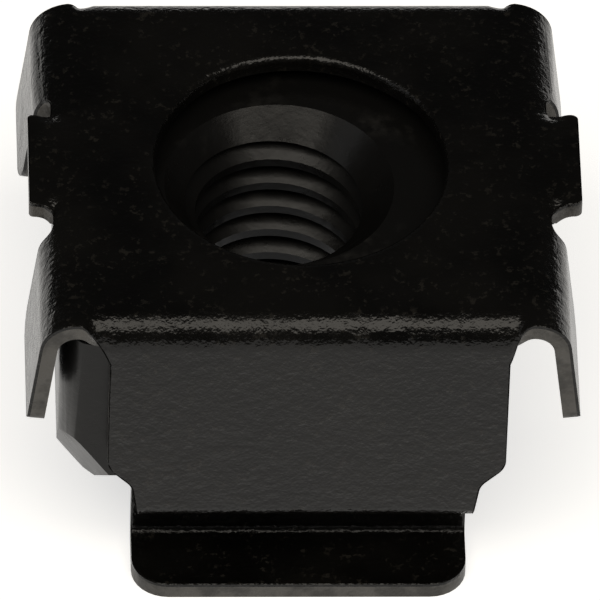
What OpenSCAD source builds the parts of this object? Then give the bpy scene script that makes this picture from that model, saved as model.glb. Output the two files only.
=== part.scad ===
// Rack cage nut: a square nut held loosely in a cage folded from one strip of spring steel.
// The cage stands on its lips, +Z up. The lips point along -Y and +Y, the flanges along -X and +X.

/* [Sheet] */
// Thickness of the spring steel
sheet_t = 0.42; // [0.36:0.01:0.5]
// Outer radius of the bends from the plate to the walls
bend_r = 0.8; // [0.7:0.05:0.95]
// Outer radius of the bends from the plate to the flanges
flange_bend_r = 0.9; // [0.8:0.05:1]
// Outer radius of the tight bend at the foot of a wall
foot_r = 0.5; // [0.5:0.02:0.6]
// Inner radius of the bend from a ledge to its neck
ledge_r = 0.1; // [0.08:0.02:0.16]
// Inner radius of the bend from a neck to its lip
lip_r = 0.21; // [0.15:0.02:0.3]

/* [Nut] */
// Width of the nut between the flanges
nut_w = 10.8; // [10.4:0.1:11]
// Depth of the nut between the walls
nut_d = 10.6; // [10.2:0.1:11]
// Height of the nut above its shoulder
nut_h = 5.3; // [4.8:0.1:5.6]
// Radius of the nut's upright corners
nut_corner_r = 0.75; // [0.5:0.05:1]
// Bevel round the nut's shoulder
shoulder_bevel = 0.65; // [0.3:0.05:0.8]
// Bevel round the nut's top face
top_bevel = 0.2; // [0.1:0.05:0.3]
// How far the cone at the foot of the nut trims its corners
corner_trim = 0.8; // [0.3:0.05:0.9]
// Diameter of the round pilot under the shoulder
pilot_d = 8; // [7.6:0.1:8.1]
// Length of the pilot below the shoulder
pilot_h = 1.6; // [1:0.1:1.8]
// Diameter of the threaded hole, between the crests
thread_minor_d = 4.06; // [3.4:0.02:4.2]
// Outer diameter of the thread
thread_major_d = 4.83; // [4.4:0.01:5]
// How much wider than the thread its countersinks are
countersink_extra = 0.75; // [0.4:0.05:0.9]

/* [Fit of the nut in the cage] */
// Gap between the nut and each wall
wall_gap = 0.13; // [0.1:0.01:0.3]
// Gap between a centred nut and each flange, for the nut to float in
flange_gap = 0.58; // [0.4:0.01:0.8]
// Gap left on the side to which the nut has slid
rest_gap = 0.08; // [0.03:0.01:0.25]
// Gap between the nut's top face and the plate
lift_gap = 0.44; // [0.3:0.02:0.8]
// Gap between the pilot and each neck
pilot_gap = 0.22; // [0.15:0.01:0.3]

/* [Plate and flanges] */
// Diameter of the hole in the plate
hole_d = 7.05; // [6.4:0.05:7.6]
// How far a flange reaches below the top of the plate
flange_drop = 3.2; // [2.6:0.1:3.6]
// Lean of the flanges away from upright, in degrees
flange_lean = 7; // [4:1:9]
// How far the front of each flange is set back from the face of the front wall
ear_front_inset = 0.1; // [0.05:0.05:0.3]
// How far the rear of each flange is set back from the face of the rear wall
ear_rear_inset = 0.4; // [0.1:0.05:0.5]
// How much further the rear end of each flange is set back below its bend
ear_rear_slant = 0.2; // [0:0.05:0.3]
// Radius of the lower corners of a flange beside the tab
flange_corner_r = 0.6; // [0.4:0.05:0.8]
// Length of each flat tab along the side of the plate
tab_l = 3.1; // [2.6:0.05:3.4]
// How far a tab reaches past the flange bend
tab_reach = 0.29; // [0.2:0.01:0.4]
// Width of the relief notch on each side of a tab
notch_w = 0.8; // [0.7:0.05:0.9]
// How far into the bend of the flange the root of a notch lies
notch_root = 0.53; // [0.4:0.01:0.6]

/* [Walls, necks and lips] */
// Width of a wall
wall_w = 9.64; // [9.4:0.02:9.8]
// Width of a wall below its shoulders
waist_w = 8.45; // [8.3:0.05:8.8]
// Width of a wall at its foot
foot_w = 8.02; // [7.8:0.02:8.1]
// Width of a neck and its lip
neck_w = 8.14; // [8.1:0.02:8.4]
// Height of the shoulder's upper corner above the ledge
shoulder_h = 1.85; // [1.7:0.05:2]
// Height of the waist above the ledge
waist_h = 1.23; // [1.1:0.01:1.3]
// Radius of the shoulder's upper corner
shoulder_r = 0.5; // [0.3:0.05:0.7]
// Gap between a ledge and its lip, which takes the edge of the rack's panel
panel_gap = 1.5; // [1.2:0.05:2]
// How far a lip reaches out from its neck
lip_l = 1.86; // [1.5:0.02:2.1]
// Radius of the lip's corners, seen from above
lip_corner_r = 0.9; // [0.6:0.05:1.2]
// How far the arch of a relief reaches down the side of a wall, below its bend
relief_drop = 0.4; // [0.2:0.05:0.6]
// Flat between the arch of a relief and the bend of the flange
ear_flat = 0.04; // [0.02:0.01:0.08]

/* [Hidden] */
$fn = 64;
far = 50;                                    // reach of a cutter past everything
arc_steps = 6;                               // straight steps in a rounded corner
blend_steps = 8;                             // grid steps of a corner blend
arc_share = 0.75;                            // share of those steps that go round the bend of the wall
skin = 0.01;                                 // a blend is this much thinner than the sheet, on each face
lap = 0.08;                                  // how far a blend runs into the sheet around it

ledge_z = sheet_t + panel_gap;               // underside of the ledges
seat_z = ledge_z + sheet_t;                  // top of the ledges, where the nut sits
top_z = seat_z + nut_h + lift_gap + sheet_t; // top face of the plate
bend_in = bend_r - sheet_t;
wall_y = nut_d / 2 + wall_gap + sheet_t;     // outer face of a wall
neck_y = pilot_d / 2 + pilot_gap + sheet_t;  // outer face of a neck
lip_y = neck_y + lip_l;                      // tip of a lip
flange_x = nut_w / 2 + flange_gap + sheet_t; // outer face of a flange where its bend ends
flat_x = flange_x - flange_bend_r;           // edge of the plate's flat, along X
flat_y = wall_y - bend_r;                    // edge of the plate's flat, along Y
tab_x = flange_x + tab_reach;
ear_x = flat_x - ear_flat;                   // where the flat part of a corner starts
relief_w = ear_x - wall_w / 2;               // width of the relief between a wall and each flange
flange_z = top_z - flange_drop;              // lower edge of the flanges
nut_x = rest_gap - flange_gap;               // the nut has slid towards -X
corner_reach = norm([nut_w, nut_d]) / 2 - (sqrt(2) - 1) * nut_corner_r;
trim_slope = 0.42;                           // how fast the trimming cone widens, going up

// How far the flat of the ears reaches along Y, at the rear (1) and the front (-1), and the flanges below it.
function ear_y(end) = wall_y - (end > 0 ? ear_rear_inset : ear_front_inset);
function leg_y(end) = ear_y(end) - (end > 0 ? ear_rear_slant : 0);

// Points of a polygon whose corners [x, y, radius] are rounded.
function rounded(c) = [for (i = [0:len(c) - 1])
    let (p = [c[i].x, c[i].y], n = len(c),
         a = unit([c[(i + n - 1) % n].x, c[(i + n - 1) % n].y] - p),
         b = unit([c[(i + 1) % n].x, c[(i + 1) % n].y] - p),
         half = acos(a * b) / 2,
         mid = p + unit(a + b) * c[i][2] / sin(half),
         from = p + a * c[i][2] / tan(half) - mid,
         to = p + b * c[i][2] / tan(half) - mid,
         turn = (from.x * to.y - from.y * to.x > 0 ? 1 : -1) * (180 - 2 * half))
    each c[i][2] == 0 ? [p] : [for (k = [0:arc_steps]) mid + turned(from, turn * k / arc_steps)]];
function unit(v) = v / norm(v);
function turned(v, a) = [v.x * cos(a) - v.y * sin(a), v.x * sin(a) + v.y * cos(a)];
function box_corners(w, h, r) = [[-w / 2, -h / 2, r], [w / 2, -h / 2, r], [w / 2, h / 2, r], [-w / 2, h / 2, r]];

// Section of a bend: a sector of a ring with the inner radius r, from angle a0 to a1 round centre c.
module bend(c, r, a0, a1)
    translate(c) intersection() {
        difference() {
            circle(r + sheet_t);
            circle(r);
        }
        polygon([[0, 0], far * [cos(a0), sin(a0)], far * [cos((a0 + a1) / 2), sin((a0 + a1) / 2)],
                 far * [cos(a1), sin(a1)]]);
    }

// A straight run of the section, from corner a to corner b.
module run(a, b)
    translate(a) square(b - a);

// Section of half the strip, x along Y and y along Z: plate, wall, ledge, neck and lip.
module strip_section() {
    run([0, top_z - sheet_t], [flat_y, top_z]);
    bend([flat_y, top_z - bend_r], bend_in, 0, 90);
    run([wall_y - sheet_t, ledge_z + foot_r], [wall_y, top_z - bend_r]);
    bend([wall_y - foot_r, ledge_z + foot_r], foot_r - sheet_t, -90, 0);
    run([neck_y + ledge_r, ledge_z], [wall_y - foot_r, seat_z]);
    bend([neck_y + ledge_r, ledge_z - ledge_r], ledge_r, 90, 180);
    run([neck_y - sheet_t, sheet_t + lip_r], [neck_y, ledge_z - ledge_r]);
    bend([neck_y + lip_r, sheet_t + lip_r], lip_r, 180, 270);
    run([neck_y + lip_r, 0], [lip_y, sheet_t]);
}

// Outline of the strip seen from the front, x along X and y along Z.
module strip_outline() {
    half = [[foot_w / 2, ledge_z, 0], [waist_w / 2, ledge_z + waist_h, 0],
            [wall_w / 2, ledge_z + shoulder_h, shoulder_r], [wall_w / 2, top_z, 0]];
    other = [for (i = [len(half) - 1:-1:0]) [-half[i].x, half[i].y, half[i][2]]];
    polygon(rounded(concat(half, other)));
    translate([-neck_w / 2, 0]) square([neck_w, ledge_z]);
}

// Outline of the strip seen from above, where it rounds the lips' corners.
module lip_outline()
    polygon(rounded(box_corners(neck_w, 2 * lip_y, lip_corner_r)));

module strip()
    difference() {
        intersection() {
            rotate([90, 0, 90]) linear_extrude(far, center = true) {
                strip_section();
                mirror([1, 0]) strip_section();
            }
            rotate([90, 0, 0]) linear_extrude(far, center = true) strip_outline();
        }
        linear_extrude(ledge_z - ledge_r) difference() {
            square(far, center = true);
            lip_outline();
        }
    }

// Section of the bend at the side of the plate, x along X and y along Z, down to the angle a0.
module side_bend(a0)
    bend([flat_x, top_z - flange_bend_r], flange_bend_r - sheet_t, a0, 90);

// Section of one flange: its bend, then the leg that leans outwards.
module flange_section() {
    side_bend(flange_lean);
    translate([flat_x, top_z - flange_bend_r]) rotate(flange_lean)
        translate([flange_bend_r - sheet_t, -far]) square([sheet_t, far]);
}

// Outline of the flanges seen from the side, x along Y and y along Z: one part each side of the tab.
module flange_outline()
    for (end = [1, -1]) scale([end, 1])
        polygon(rounded([[tab_l / 2 + notch_w, top_z, 0], [tab_l / 2 + notch_w, flange_z, flange_corner_r],
                         [leg_y(end), flange_z, sheet_t / 2], [leg_y(end), top_z - sheet_t, 0],
                         [ear_y(end), top_z, 0]]));

// A section at both sides of the cage, drawn out to length l along Y.
module at_sides(l)
    rotate([90, 0, 0]) linear_extrude(l, center = true) {
        children();
        mirror([1, 0]) children();
    }

// The flanges, and the start of their bend, which the notches leave beside each tab.
module flanges() {
    intersection() {
        at_sides(far) flange_section();
        rotate([90, 0, 90]) linear_extrude(far, center = true) flange_outline();
    }
    difference() {
        at_sides(tab_l + 2 * notch_w) side_bend(acos(notch_root / flange_bend_r));
        cube([far, tab_l, far], center = true);
    }
}

// The flat of the plate, with the ears at its corners and the tabs at its sides.
module plate_outline() {
    square([2 * flat_x, 2 * flat_y], center = true);
    square([2 * tab_x, tab_l], center = true);
    for (side = [1, -1], end = [1, -1]) scale([side, end])
        translate([ear_x, 0]) square([ear_flat, ear_y(end)]);
}

// One corner, where the bend of the wall eases into the flat of the ear over the arched relief.
// Its grid runs along X from the wall's side to the ear, and round the bend to the free edge.
module corner_blend(ear) {
    xs = [wall_w / 2 - lap, for (i = [0:blend_steps]) wall_w / 2 + relief_w * i / blend_steps, ear_x + lap];
    us = [for (j = [-1:blend_steps]) j / blend_steps];
    n = len(us);
    m = len(xs);
    polyhedron(
        [for (r = [bend_r - skin, bend_in + skin], x = xs, u = us) blend_point(x, u, r, ear)],
        [for (i = [0:m - 2], j = [0:n - 2]) [i * n + j, i * n + j + 1, (i + 1) * n + j + 1, (i + 1) * n + j],
         for (i = [0:m - 2], j = [0:n - 2]) let (k = m * n)
            [k + i * n + j, k + (i + 1) * n + j, k + (i + 1) * n + j + 1, k + i * n + j + 1],
         for (i = [0:m - 2], e = [0, n - 1]) let (a = i * n + e, b = a + n, k = m * n)
            e == 0 ? [a, b, k + b, k + a] : [b, a, k + a, k + b],
         for (j = [0:n - 2], e = [0, m - 1]) let (a = e * n + j, b = a + 1, k = m * n)
            e == 0 ? [b, a, k + a, k + b] : [a, b, k + b, k + a]]);
}

// A point of the blend: part way from the wall, round its bend of radius r, to the flat of the ear.
function blend_point(x, u, r, ear) =
    let (share = sin(90 * min(max((x - wall_w / 2) / relief_w, 0), 1)),
         turn = 90 * min(u / arc_share, 1),
         down = relief_drop * max(u - arc_share, 0) / (1 - arc_share),
         out = u < 0 ? -lap : (1 - share) * r * sin(turn) + share * (ear - flat_y) * u,
         drop = u < 0 ? 0 : (1 - share) * (r * (1 - cos(turn)) + down))
    [x, flat_y + out, top_z - bend_r + r - drop];

module cage()
    color([0.16, 0.16, 0.16]) difference() {
        union() {
            strip();
            translate([0, 0, top_z - sheet_t]) linear_extrude(sheet_t) plate_outline();
            flanges();
            for (side = [0, 1], end = [1, -1]) mirror([side, 0, 0]) mirror([0, end < 0 ? 1 : 0, 0])
                corner_blend(ear_y(end));
        }
        translate([0, 0, seat_z]) cylinder(d = hole_d, h = far);
    }

// Outline of the nut's body seen from one side, with the bevels of its shoulder and its top.
module body_outline(w)
    polygon([[-w / 2 + shoulder_bevel, 0], [w / 2 - shoulder_bevel, 0], [w / 2, shoulder_bevel],
             [w / 2, nut_h - top_bevel], [w / 2 - top_bevel, nut_h], [-w / 2 + top_bevel, nut_h],
             [-w / 2, nut_h - top_bevel], [-w / 2, shoulder_bevel]]);

module body()
    intersection() {
        linear_extrude(nut_h) polygon(rounded(box_corners(nut_w, nut_d, nut_corner_r)));
        rotate([90, 0, 0]) linear_extrude(far, center = true) body_outline(nut_w);
        rotate([90, 0, 90]) linear_extrude(far, center = true) body_outline(nut_d);
        cylinder(r1 = corner_reach - corner_trim, r2 = corner_reach - corner_trim + nut_h * trim_slope, h = nut_h);
    }

module nut()
    color([0.2, 0.2, 0.21]) translate([nut_x, 0, seat_z]) difference() {
        union() {
            body();
            translate([0, 0, -pilot_h]) cylinder(d = pilot_d, h = pilot_h + shoulder_bevel);
        }
        translate([0, 0, -far / 2]) cylinder(d = thread_minor_d, h = far);
        translate([0, 0, nut_h]) countersink();
        translate([0, 0, -pilot_h]) mirror([0, 0, 1]) countersink();
    }

// Cutter of one countersink, its mouth at z = 0.
module countersink() {
    mouth_r = (thread_major_d + countersink_extra) / 2;
    translate([0, 0, -mouth_r]) cylinder(r1 = 0, r2 = 2 * mouth_r, h = 2 * mouth_r);
}

cage();
nut();
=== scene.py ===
import math

import bmesh
import bpy
from mathutils import Matrix, Vector


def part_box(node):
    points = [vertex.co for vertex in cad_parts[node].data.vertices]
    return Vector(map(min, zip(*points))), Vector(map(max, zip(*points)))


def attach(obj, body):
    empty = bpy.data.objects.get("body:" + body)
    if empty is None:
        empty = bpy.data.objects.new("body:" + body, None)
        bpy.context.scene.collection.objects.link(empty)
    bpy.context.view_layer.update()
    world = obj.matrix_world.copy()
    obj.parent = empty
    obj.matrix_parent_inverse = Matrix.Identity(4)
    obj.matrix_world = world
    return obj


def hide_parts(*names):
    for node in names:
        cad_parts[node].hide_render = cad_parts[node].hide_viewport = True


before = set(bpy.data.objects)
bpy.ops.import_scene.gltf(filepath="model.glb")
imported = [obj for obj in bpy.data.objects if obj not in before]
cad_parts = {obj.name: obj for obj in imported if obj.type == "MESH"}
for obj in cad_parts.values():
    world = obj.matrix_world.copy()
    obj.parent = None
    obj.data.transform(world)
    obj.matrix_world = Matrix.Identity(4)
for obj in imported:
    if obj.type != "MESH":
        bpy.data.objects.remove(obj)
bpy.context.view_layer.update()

# A rack cage nut: a square nut with a real thread, lying in a cage folded from one flat blank.
# Lengths are in millimetres here, and MM turns them into the frame's metres.

MM = 0.001
CAGE_HI = Vector(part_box("cage")[1]) / MM
NUT_LO, NUT_HI = [Vector(corner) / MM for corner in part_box("nut")]

# The sheet and its bends, as in the construction
SHEET = 0.42
BEND_R = 0.8
FOOT_R = 0.5
LEDGE_R = 0.1
LIP_R = 0.21
TOP_Z = CAGE_HI.z
WALL_Y = 5.85
NECK_Y = 4.64
LIP_Y = CAGE_HI.y
LEDGE_Z = 1.92
FLANGE_X = 6.4
FLANGE_Z = TOP_Z - 3.2
FLANGE_LEAN = math.radians(7)
FLANGE_BEND_R = 0.9
FLAT_X = FLANGE_X - FLANGE_BEND_R
FLAT_Y = WALL_Y - BEND_R
HOLE_R = 3.525

# The blank's outline
WALL_W = 9.64
WAIST_W = 8.45
FOOT_W = 8.02
NECK_W = 8.14
SHOULDER_Z = LEDGE_Z + 1.85
WAIST_Z = LEDGE_Z + 1.23
RELIEF_W = FLAT_X - 0.04 - WALL_W / 2
RELIEF_DROP = 0.4
EAR_X = WALL_W / 2 + RELIEF_W
EAR_FRONT = WALL_Y - 0.1
EAR_REAR = WALL_Y - 0.4
REAR_SLANT = 0.2
TAB_L = 3.1
TAB_X = FLANGE_X + 0.29
NOTCH_W = 0.8
NOTCH_R = 0.3
NOTCH_X = 6.03

# How far the press has set the tabs, the front wall and the rear to one side
TAB_SHIFT = 0.09
WALL_SHIFT = 0.11
REAR_SHIFT = -0.09

# Where the sheet beside a tab turns from flat to the full bend, and how soon it does so past the notch
EASE_START = TAB_L / 2 - 0.35
EASE_L = 0.5
TAB_EASE = 0.45

# Corner radii of the blank
LIP_CORNER = 0.9
WAIST_CORNER = 0.15
SHOULDER_CORNER = 0.22
BEND_END_CORNER = 1.2
LEG_CORNER = 0.25
LEG_CORNER_BY_TAB = 0.6
TAB_CORNER = 0.15

# Steps of the mesh: round a corner, across a relief, and in a quarter turn of each kind of bend
CORNER_STEPS = 8
RELIEF_STEPS = 10
WALL_BEND_STEPS = 14
FLANGE_BEND_STEPS = 12
EASE_STEPS = 7
TAB_EASE_STEPS = 4
SHARP_EDGE = 30

# How the press has rounded the edges on the outer face
EDGE_ROLL = 0.07
HOLE_ROLL = 0.2
HOLE_SIDES = 128
ROLL_SHARES = [0, 0.08, 0.3, 0.6, 1]


# ---------------------------------------------------------------- folding

class Fold:
    """The outer face of a folded strip, from a distance along it to its place and its normal."""

    def __init__(self, height, steps):
        self.pieces = []
        at, heading, start = Vector((0, height)), 0.0, 0.0
        for length, turn, radius in steps:
            self.pieces.append((start, length, at.copy(), heading, turn, radius))
            at, heading = self.place(self.pieces[-1], length)[0], heading + turn
            start += length
        self.end = start

    @staticmethod
    def place(piece, along):
        start, length, at, heading, turn, radius = piece
        normal = Vector((-math.sin(heading), math.cos(heading)))
        if not turn:
            return at + along * Vector((math.cos(heading), math.sin(heading))), normal
        side = math.copysign(radius, turn)
        angle = heading + turn * along / length
        now = Vector((-math.sin(angle), math.cos(angle)))
        return at + side * normal - side * now, now

    def __call__(self, along):
        piece = next((p for p in self.pieces if along <= p[0] + p[1]), self.pieces[-1])
        return self.place(piece, along - piece[0])

    def starts(self):
        return [p[0] for p in self.pieces] + [self.end]

    def cuts(self, per_turn):
        """Distances at which the flat blank is cut, so that each bend is round."""
        found = []
        for start, length, _, _, turn, _ in self.pieces:
            if turn:
                steps = max(3, round(per_turn * abs(turn) / (math.pi / 2)))
                found += [start + length * k / steps for k in range(steps + 1)]
        return found


def straight(length):
    return length, 0.0, 0.0


def bend(radius, degrees):
    return radius * math.radians(abs(degrees)), math.radians(degrees), radius


WALL_FOLD = Fold(TOP_Z, [
    straight(FLAT_Y), bend(BEND_R, -90), straight(TOP_Z - BEND_R - LEDGE_Z - FOOT_R),
    bend(FOOT_R, -90), straight(WALL_Y - FOOT_R - NECK_Y - LEDGE_R),
    bend(LEDGE_R, 90), straight(LEDGE_Z - LEDGE_R - SHEET - LIP_R),
    bend(LIP_R, 90), straight(LIP_Y - NECK_Y - LIP_R)])
BEND_END_Z = TOP_Z - FLANGE_BEND_R * (1 - math.sin(FLANGE_LEAN))
FLANGE_FOLD = Fold(TOP_Z, [
    straight(FLAT_X), bend(FLANGE_BEND_R, math.degrees(FLANGE_LEAN) - 90),
    straight((BEND_END_Z - FLANGE_Z) / math.cos(FLANGE_LEAN))])


NOTCH_ROOT = FLAT_X + FLANGE_BEND_R * math.asin((NOTCH_X - FLAT_X) / FLANGE_BEND_R)
WALL_END = WALL_FOLD.starts()[2] + RELIEF_DROP


def ramp(value, start, width):
    """Rises smoothly from 0 to 1 over a width."""
    share = min(max((value - start) / width, 0), 1)
    return share * share * (3 - 2 * share)


def relief_share(across):
    """0 at the side of the wall, 1 where the flat of the ear starts."""
    return math.sin(math.pi / 2 * min(max((across - WALL_W / 2) / RELIEF_W, 0), 1))


def relief_edge(across, ear):
    """Where the free edge over the relief lies on the blank."""
    return WALL_END + (ear - WALL_END) * relief_share(across)


def press_shift(co):
    """The press holds the strip a little askew: how far each part of it lies to the right."""
    across, along = abs(co.x), abs(co.y)
    tab = TAB_SHIFT * ramp(across, FLAT_X - 0.3, 0.8) * (1 - ramp(along, TAB_L / 2 - 0.2, 0.5))
    wall = WALL_SHIFT * ramp(along, FLAT_Y, 1) * (1 - ramp(along, WALL_FOLD.starts()[4] - 0.4, 1))
    rear = REAR_SHIFT * ramp(co.y, TAB_L / 2 + 0.4, 1.2)
    return tab + (wall if co.y < 0 else 0) * (1 - ramp(across, WALL_W / 2, 0.4)) + rear


def fold_blank(co):
    """Moves a point of the flat blank (x, y, height over the outer face) to its place on the cage."""
    across, along = abs(co.x), abs(co.y)
    ear = EAR_REAR if co.y > 0 else EAR_FRONT
    if across > FLAT_X:
        # the tab stays flat, and the sheet beside it eases into the bend of the flange
        share = ramp(along, EASE_START, EASE_L)
        place, normal = FLANGE_FOLD(across)
        if along < TAB_L / 2 + 0.1 and across > NOTCH_ROOT:
            place = FLANGE_FOLD(NOTCH_ROOT)[0] + Vector((across - NOTCH_ROOT, 0))
            normal = Vector((0, 1))
            share *= 1 - ramp(across, NOTCH_ROOT, TAB_EASE)
        place = Vector((across, TOP_Z)).lerp(place, share)
        out = place + co.z * Vector((0, 1)).lerp(normal, share).normalized()
        return Vector((math.copysign(out.x, co.x), co.y, out.y))
    share = relief_share(across)
    if along <= FLAT_Y or share == 1:
        return Vector((co.x, co.y, TOP_Z + co.z))
    place, normal = WALL_FOLD(along)
    if share > 0:
        way = (along - FLAT_Y) / (relief_edge(across, ear) - FLAT_Y)
        place, normal = WALL_FOLD(FLAT_Y + way * (WALL_END - FLAT_Y))
        place = place.lerp(Vector((FLAT_Y + way * (ear - FLAT_Y), TOP_Z)), share)
        normal = normal.lerp(Vector((0, 1)), share).normalized()
    out = place + co.z * normal
    return Vector((co.x, math.copysign(out.x, co.y), out.y))


# ---------------------------------------------------------------- the blank

def wall_distance(height):
    """How far along the blank the wall reaches this height."""
    return WALL_FOLD.starts()[2] + TOP_Z - BEND_R - height


def relief_points(ear):
    """The free edge over the relief, from the wall's side to the ear, as corners of the outline."""
    places = [WALL_W / 2 + RELIEF_W * k / RELIEF_STEPS for k in range(1, RELIEF_STEPS)]
    return [(across, relief_edge(across, ear), 0) for across in places]


def quarter_outline(ear, leg):
    """One quarter of the blank's outline, from the lip's tip to the tab, as (x, y, corner radius)."""
    starts = WALL_FOLD.starts()
    foot, neck, tip = starts[4], starts[5], starts[-1]
    beside_tab = TAB_L / 2 + NOTCH_W
    return [
        (NECK_W / 2, tip, LIP_CORNER), (NECK_W / 2, neck + LEDGE_R, 0),
        (FOOT_W / 2, neck, 0), (FOOT_W / 2, foot, 0),
        (WAIST_W / 2, wall_distance(WAIST_Z), WAIST_CORNER),
        (WALL_W / 2, wall_distance(SHOULDER_Z), SHOULDER_CORNER),
        (WALL_W / 2, WALL_END, 0), *relief_points(ear), (EAR_X, ear, 0),
        (FLANGE_FOLD.starts()[2] - 0.2, leg, BEND_END_CORNER), (FLANGE_FOLD.end, leg, LEG_CORNER),
        (FLANGE_FOLD.end, beside_tab, LEG_CORNER_BY_TAB),
        (NOTCH_ROOT, beside_tab, NOTCH_R), (NOTCH_ROOT, TAB_L / 2, NOTCH_R),
        (TAB_X, TAB_L / 2, TAB_CORNER)]


def blank_outline():
    rear, front = quarter_outline(EAR_REAR, EAR_REAR - REAR_SLANT), quarter_outline(EAR_FRONT, EAR_FRONT)
    right = rear + [(x, -y, r) for x, y, r in reversed(front)]
    return right + [(-x, y, r) for x, y, r in reversed(right)]


def round_corners(bm, corners):
    """Rounds the outline's corners, those of one radius at a time."""
    for radius in sorted({r for _, _, r in corners if r}):
        chosen = [v for v in bm.verts if any(
            r == radius and abs(v.co.x - x) + abs(v.co.y - y) < 1e-5 for x, y, r in corners)]
        bmesh.ops.bevel(bm, geom=chosen, offset=radius, offset_type="OFFSET", affect="VERTICES",
                        segments=CORNER_STEPS, profile=0.5, material=-1)


def rolled(roll, share):
    """Depth of a rolled edge of this radius, at a share of the way in from its rim."""
    return roll * (1 - math.sqrt(1 - (1 - share) ** 2))


def cut_across(bm, axis, distances):
    normal = Vector((1, 0, 0)) if axis == 0 else Vector((0, 1, 0))
    for distance in distances:
        for side in (1, -1):
            bmesh.ops.bisect_plane(bm, geom=bm.verts[:] + bm.edges[:] + bm.faces[:], dist=1e-5,
                                   plane_co=side * distance * normal, plane_no=normal)


def border(faces):
    """Vertices on the edge of a region of faces."""
    inside = set(faces)
    return {v for f in faces for e in f.edges
            if e.is_boundary or any(g not in inside for g in e.link_faces) for v in e.verts}


def roll_outline(bm, sheet):
    """Insets the sheet's outline in narrow rings, and lowers them to a rolled edge."""
    depth = {}
    for share, following in zip(ROLL_SHARES, ROLL_SHARES[1:] + [None]):
        outer = [v for v in border(sheet) if v.co.xy.length > HOLE_R + 1]
        depth.update({v: rolled(EDGE_ROLL, share) for v in outer})
        if following is not None:
            bmesh.ops.inset_region(bm, faces=sheet, thickness=(following - share) * EDGE_ROLL,
                                   use_boundary=True, use_even_offset=True)
    for v, down in depth.items():
        v.co.z = -down


def roll_hole(bm):
    """Grows the sheet inwards to the hole, over a wider rolled edge."""
    loop = [e for e in bm.edges if e.is_boundary and e.verts[0].co.length < HOLE_R + 1]
    for outer, inner in zip(ROLL_SHARES[::-1], ROLL_SHARES[-2::-1]):
        grown = bmesh.ops.extrude_edge_only(bm, edges=loop)["geom"]
        ring = [v for v in grown if isinstance(v, bmesh.types.BMVert)]
        edges = [e for e in grown if isinstance(e, bmesh.types.BMEdge)]
        loop = [e for e in edges if all(v in ring for v in e.verts)]
        scale = (HOLE_R + inner * HOLE_ROLL) / (HOLE_R + outer * HOLE_ROLL)
        bmesh.ops.scale(bm, vec=(scale, scale, 1), verts=ring)
        for v in ring:
            v.co.z = -rolled(HOLE_ROLL, inner)


def make_blank():
    """The flat blank with its hole and the rolled edges of its outer face, which lies at z = 0."""
    bm = bmesh.new()
    corners = blank_outline()
    bm.faces.new([bm.verts.new((x, y, 0)) for x, y, _ in corners])
    round_corners(bm, corners)
    bmesh.ops.delete(bm, geom=bm.faces[:], context="FACES_ONLY")
    bmesh.ops.create_circle(bm, segments=HOLE_SIDES, radius=HOLE_R + HOLE_ROLL)
    bmesh.ops.triangle_fill(bm, edges=bm.edges[:], use_beauty=True, normal=(0, 0, 1))
    roll_outline(bm, bm.faces[:])
    roll_hole(bm)
    under = bmesh.ops.extrude_face_region(bm, geom=bm.faces[:])["geom"]
    for v in under:
        if isinstance(v, bmesh.types.BMVert):
            v.co.z = -SHEET
    bmesh.ops.recalc_face_normals(bm, faces=bm.faces[:])
    return bm


def stepped(start, width, steps):
    """Evenly spaced distances over a width, both ends included."""
    return [start + width * k / steps for k in range(steps + 1)]


def make_cage():
    """The folded cage; its sheared faces, where the finish is thin, are marked for the black oxide."""
    bm = make_blank()
    mark = bm.loops.layers.float.new("cut_edge")
    for face in bm.faces:
        sheared = abs(face.normal.z) < 0.01
        for corner in face.loops:
            corner[mark] = float(sheared and face.calc_center_median().length > HOLE_R + 0.2)
    cut_across(bm, 0, stepped(WALL_W / 2, RELIEF_W, RELIEF_STEPS) + FLANGE_FOLD.cuts(FLANGE_BEND_STEPS))
    cut_across(bm, 0, stepped(NOTCH_ROOT, TAB_EASE, TAB_EASE_STEPS))
    cut_across(bm, 1, stepped(EASE_START, EASE_L, EASE_STEPS))
    cut_across(bm, 1, WALL_FOLD.cuts(WALL_BEND_STEPS))
    for v in bm.verts:
        shift = press_shift(v.co)
        v.co = (fold_blank(v.co) + Vector((shift, 0, 0))) * MM
    bmesh.ops.recalc_face_normals(bm, faces=bm.faces[:])
    return finish_mesh("folded_cage", bm, SHARP_EDGE)


# ---------------------------------------------------------------- meshes

def finish_mesh(name, bm, sharp_degrees):
    """Puts a bmesh into an object of the scene, smooth but for edges over the angle."""
    mesh = bpy.data.meshes.new(name)
    bm.to_mesh(mesh)
    bm.free()
    mesh.shade_smooth()
    mesh.set_sharp_from_angle(angle=math.radians(sharp_degrees))
    obj = bpy.data.objects.new(name, mesh)
    bpy.context.scene.collection.objects.link(obj)
    return obj


# ---------------------------------------------------------------- the nut

THREAD_PITCH = 0.794
THREAD_MINOR_R = 2.03
THREAD_MAJOR_R = 2.43
THREAD_TURNS = 11
THREAD_STEPS = 72
NUT_X = (NUT_LO.x + NUT_HI.x) / 2
COUNTERSINK_R = 2.85
HOLE_SHARP_EDGE = 9


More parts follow.
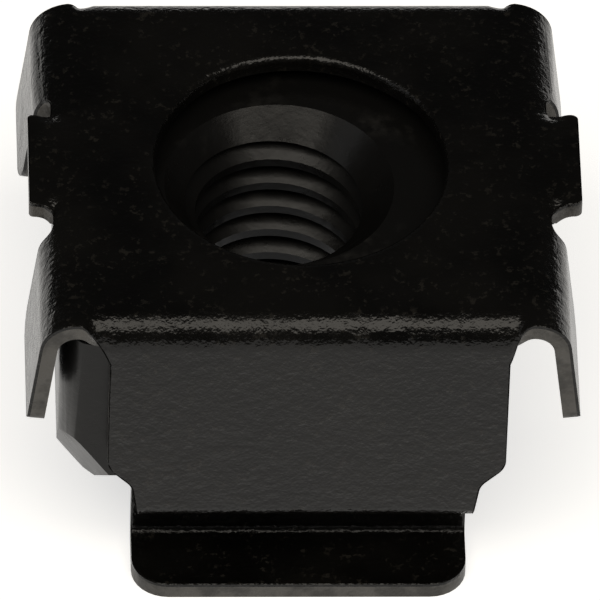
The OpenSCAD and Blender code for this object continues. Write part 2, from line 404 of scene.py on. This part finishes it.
def make_thread_cutter():
    """A solid screw whose grooves the nut's thread keeps, from one profile spun along its axis."""
    inner = THREAD_MINOR_R - 0.05
    flank = (THREAD_MAJOR_R - inner) * math.tan(math.radians(30))
    root = THREAD_PITCH / 8
    profile = [(inner, 0), (THREAD_MAJOR_R, flank), (THREAD_MAJOR_R, flank + root),
               (inner, 2 * flank + root), (inner, THREAD_PITCH)]
    bm = bmesh.new()
    verts = [bm.verts.new((NUT_X + r, 0, NUT_LO.z - THREAD_PITCH + z)) for r, z in profile]
    edges = [bm.edges.new(pair) for pair in zip(verts, verts[1:])]
    bmesh.ops.spin(bm, geom=verts + edges, cent=(NUT_X, 0, 0), axis=(0, 0, 1),
                   dvec=(0, 0, THREAD_PITCH / THREAD_STEPS), angle=2 * math.pi * THREAD_TURNS,
                   steps=THREAD_TURNS * THREAD_STEPS)
    bmesh.ops.remove_doubles(bm, verts=bm.verts[:], dist=1e-4)
    for end in (min, max):
        rim = [e for e in bm.edges if e.is_boundary]
        level = end(v.co.z for e in rim for v in e.verts)
        near = [e for e in rim if all(abs(v.co.z - level) < 1.2 * THREAD_PITCH for v in e.verts)]
        bmesh.ops.contextual_create(bm, geom=near)
    bmesh.ops.triangulate(bm, faces=[f for f in bm.faces if len(f.verts) > 4])
    bmesh.ops.recalc_face_normals(bm, faces=bm.faces[:])
    bmesh.ops.scale(bm, vec=(MM, MM, MM), verts=bm.verts[:])
    return finish_mesh("thread_cutter", bm, SHARP_EDGE)


def crisp_hole(mesh):
    """Keeps the flanks of the thread and the countersinks crisp against each other."""
    bm = bmesh.new()
    bm.from_mesh(mesh)
    for edge in bm.edges:
        middle = (edge.verts[0].co + edge.verts[1].co) / 2 / MM
        in_hole = math.hypot(middle.x - NUT_X, middle.y) < COUNTERSINK_R
        edge.smooth = edge.calc_face_angle(0) < math.radians(HOLE_SHARP_EDGE if in_hole else SHARP_EDGE)
    bm.to_mesh(mesh)
    bm.free()


def make_nut():
    """The nut's own form, with the thread cut in its hole."""
    bm = bmesh.new()
    bm.from_mesh(bpy.data.objects["nut"].data)
    bmesh.ops.remove_doubles(bm, verts=bm.verts[:], dist=1e-7)
    bmesh.ops.dissolve_limit(bm, angle_limit=math.radians(1), verts=bm.verts[:], edges=bm.edges[:])
    nut = finish_mesh("plain_nut", bm, SHARP_EDGE)
    cutter = make_thread_cutter()
    cut = nut.modifiers.new("thread", "BOOLEAN")
    cut.object = cutter
    cut.operation = "DIFFERENCE"
    cut.solver = "EXACT"
    depsgraph = bpy.context.evaluated_depsgraph_get()
    bm = bmesh.new()
    bm.from_mesh(nut.evaluated_get(depsgraph).to_mesh())
    bmesh.ops.remove_doubles(bm, verts=bm.verts[:], dist=2e-6)
    bmesh.ops.triangulate(bm, faces=bm.faces[:], quad_method="BEAUTY", ngon_method="BEAUTY")
    for used in (cutter, nut):
        bpy.data.objects.remove(used)
    nut = finish_mesh("threaded_nut", bm, SHARP_EDGE)
    crisp_hole(nut.data)
    return nut


# ---------------------------------------------------------------- finishes

class Value:
    """A shader socket on which sums are written as Python."""

    def __init__(self, tree, socket):
        self.tree, self.socket = tree, socket

    def maths(self, operation, other):
        return make(self.tree, "ShaderNodeMath", {"operation": operation}, {0: self, 1: other})

    def __add__(self, other):
        return self.maths("ADD", other)

    def __mul__(self, other):
        return self.maths("MULTIPLY", other)

    __radd__ = __add__
    __rmul__ = __mul__

    def step(self, low, high):
        """Rises smoothly from 0 at the low value to 1 at the high one."""
        return make(self.tree, "ShaderNodeMapRange", {"interpolation_type": "SMOOTHSTEP"},
                    {"Value": self, "From Min": low, "From Max": high})


def make(tree, kind, settings, values, out=0):
    """Any node: its settings first, then the values or links of its sockets."""
    node = tree.nodes.new(kind)
    for name, setting in settings.items():
        setattr(node, name, setting)
    for name, value in values.items():
        if isinstance(value, Value):
            tree.links.new(value.socket, node.inputs[name])
        else:
            node.inputs[name].default_value = value
    return None if out is None else Value(tree, node.outputs[out])


def blend_colour(tree, share, low, high):
    """Mixes two colours, or two linked ones, by a share."""
    return make(tree, "ShaderNodeMix", {"data_type": "RGBA"}, {0: share, 6: low, 7: high}, out=2)


def grey(level, warmth):
    """A grey, tinted towards a warm brown."""
    return (level * (1 + warmth), level, level * (1 - 1.6 * warmth), 1)


def noise(tree, place, scale, detail, roughness=0.5):
    return make(tree, "ShaderNodeTexNoise", {}, {
        "Vector": place, "Scale": scale, "Detail": detail, "Roughness": roughness})


def finish_shader(name, settings):
    """A Principled finish with its plain numbers on its own sockets."""
    material = bpy.data.materials.new(name)
    material.use_nodes = True
    tree = material.node_tree
    shader = tree.nodes["Principled BSDF"]
    for socket, value in settings.items():
        shader.inputs[socket].default_value = value
    place = make(tree, "ShaderNodeTexCoord", {}, {}, out=3)
    return material, tree, shader, place


def black_oxide():
    """The cage: dipped black over spring steel, mottled and finely pitted, with painted highlight glints in
    its colour, worn bright at its edges.
    """
    material, tree, shader, place = finish_shader("black_oxide", {"IOR": 1.5, "Specular IOR Level": 0.25})
    mottle = noise(tree, place, 1500, 3, 0.6)
    speckle = noise(tree, place, 5200, 2, 0.7)
    cloud = noise(tree, place, 260, 3, 0.6)
    steel = make(tree, "ShaderNodeAttribute", {"attribute_name": "cut_edge"}, {}, out=2)
    # Painted highlights: small warm-grey glints blended into the base colour where the speckle and the mottle
    # peak.
    glints = speckle.step(0.55, 0.68) * mottle.step(0.42, 0.6)
    dark = blend_colour(tree, cloud.step(0.35, 0.65), grey(0.0015, 0.06), grey(0.004, 0.08))
    coat_and_painted_glints = blend_colour(tree, glints * 0.3, dark, grey(0.035, 0.10))
    worn = steel * (0.45 + 0.55 * mottle.step(0.35, 0.6))
    colour = blend_colour(tree, worn, coat_and_painted_glints, grey(0.11, 0.03))
    tree.links.new(colour.socket, shader.inputs["Base Color"])
    rough = 0.13 + 0.14 * mottle + 0.06 * cloud + 0.2 * steel
    tree.links.new(rough.socket, shader.inputs["Roughness"])
    height = 0.55 * mottle + 0.45 * speckle
    bump = make(tree, "ShaderNodeBump", {}, {"Height": height, "Strength": 0.85, "Distance": 0.00008})
    tree.links.new(bump.socket, shader.inputs["Normal"])
    return material


def black_phosphate():
    """The nut: a smoother, duller black with fine turning marks and a few rubbed spots."""
    material, tree, shader, place = finish_shader("black_phosphate", {"IOR": 1.5, "Specular IOR Level": 0.22})
    grain = noise(tree, place, 2600, 3, 0.6)
    cloud = noise(tree, place, 420, 3, 0.6)
    rubbed = cloud.step(0.55, 0.75) * grain.step(0.4, 0.65)
    colour = blend_colour(tree, rubbed, grey(0.004, 0.04), grey(0.014, 0.05))
    tree.links.new(colour.socket, shader.inputs["Base Color"])
    rough = 0.2 + 0.12 * grain + 0.06 * cloud
    tree.links.new(rough.socket, shader.inputs["Roughness"])
    bump = make(tree, "ShaderNodeBump", {}, {"Height": grain, "Strength": 0.3, "Distance": 0.00003})
    tree.links.new(bump.socket, shader.inputs["Normal"])
    return material


# ---------------------------------------------------------------- the scene

FLOOR_SIZE = 6
FLOOR_GLOW = 0.62
ROOM_LEVEL = 0.05
WARM_WHITE = (1, 0.94, 0.84)
WHITE = (1, 1, 1)


def floor_material():
    """Pale, and glowing up to white where it is seen, so that it keeps the shadow."""
    material = bpy.data.materials.new("pale_floor")
    material.use_nodes = True
    tree = material.node_tree
    tree.nodes.clear()
    pale = make(tree, "ShaderNodeBsdfDiffuse", {}, {"Color": (0.8, 0.8, 0.8, 1)})
    glow = make(tree, "ShaderNodeEmission", {}, {"Color": (*WHITE, 1), "Strength": FLOOR_GLOW})
    seen = make(tree, "ShaderNodeAddShader", {}, {0: pale, 1: glow})
    camera, glossy, through = [make(tree, "ShaderNodeLightPath", {}, {}, out=f"Is {kind} Ray")
                               for kind in ("Camera", "Glossy", "Transmission")]
    share = camera.maths("MAXIMUM", glossy.maths("MAXIMUM", through))
    mix = make(tree, "ShaderNodeMixShader", {}, {0: share, 1: pale, 2: seen})
    make(tree, "ShaderNodeOutputMaterial", {}, {"Surface": mix}, out=None)
    return material


def make_floor():
    bpy.ops.mesh.primitive_plane_add(size=FLOOR_SIZE)
    floor = bpy.context.object
    floor.name = "floor"
    floor.data.materials.append(floor_material())


def dim_room():
    world = bpy.data.worlds.new("dim_room")
    bpy.context.scene.world = world
    world.use_nodes = True
    world.node_tree.nodes["Background"].inputs["Color"].default_value = (*WHITE, 1)
    world.node_tree.nodes["Background"].inputs["Strength"].default_value = ROOM_LEVEL


def soft_box(name, elevation, azimuth, width, height, distance, strength, colour):
    """A soft light at a distance from the part, turned towards it; azimuth 0 is the camera's side."""
    light = bpy.data.lights.new(name, "AREA")
    light.shape = "RECTANGLE"
    light.size, light.size_y = width, height
    light.energy = strength
    light.color = colour
    obj = bpy.data.objects.new(name, light)
    bpy.context.scene.collection.objects.link(obj)
    up, turn = math.radians(elevation), math.radians(azimuth)
    way = Vector((math.sin(turn) * math.cos(up), -math.cos(turn) * math.cos(up), math.sin(up)))
    obj.matrix_world = (Matrix.Translation(way * distance)
                        @ way.to_track_quat("Z", "Y").to_matrix().to_4x4())


def place_lights():
    soft_box("overhead", 64, 0, 1.0, 0.42, 0.75, 4.6, WARM_WHITE)
    soft_box("left_fill", 30, -75, 0.3, 0.5, 0.8, 0.3, WHITE)


CAMERA_TARGET = Vector((0.1, 0, 3.71)) * MM
CAMERA_DISTANCE = 450
CAMERA_AZIMUTH = math.radians(2.9)
CAMERA_ELEVATION = math.radians(44.7)
CAMERA_ROLL = math.radians(2.0)
FRAME_WIDTH = 600 / 41.0
SENSOR_WIDTH = 36


def place_camera():
    azimuth, elevation, distance = CAMERA_AZIMUTH, CAMERA_ELEVATION, CAMERA_DISTANCE * MM
    away = Vector((math.sin(azimuth) * math.cos(elevation), math.cos(azimuth) * math.cos(elevation),
                   -math.sin(elevation)))
    camera = bpy.data.objects.new("camera", bpy.data.cameras.new("camera"))
    bpy.context.scene.collection.objects.link(camera)
    camera.data.lens = SENSOR_WIDTH * CAMERA_DISTANCE / FRAME_WIDTH
    camera.data.clip_start = 0.01
    camera.data.clip_end = 5
    spin = away.to_track_quat("-Z", "Y").to_matrix().to_4x4()
    camera.matrix_world = (Matrix.Translation(CAMERA_TARGET - away * distance) @ spin
                           @ Matrix.Rotation(CAMERA_ROLL, 4, "Z"))
    bpy.context.scene.camera = camera


def main():
    cage, nut = make_cage(), make_nut()
    cage.data.materials.append(black_oxide())
    nut.data.materials.clear()
    nut.data.materials.append(black_phosphate())
    for piece, node, slot in ((cage, "cage", "cage_black"), (nut, "nut", "nut_black")):
        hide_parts(node)
        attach(piece, "root")
    make_floor()
    place_camera()
    place_lights()
    dim_room()
    bpy.context.scene.view_settings.view_transform = "Standard"


main()
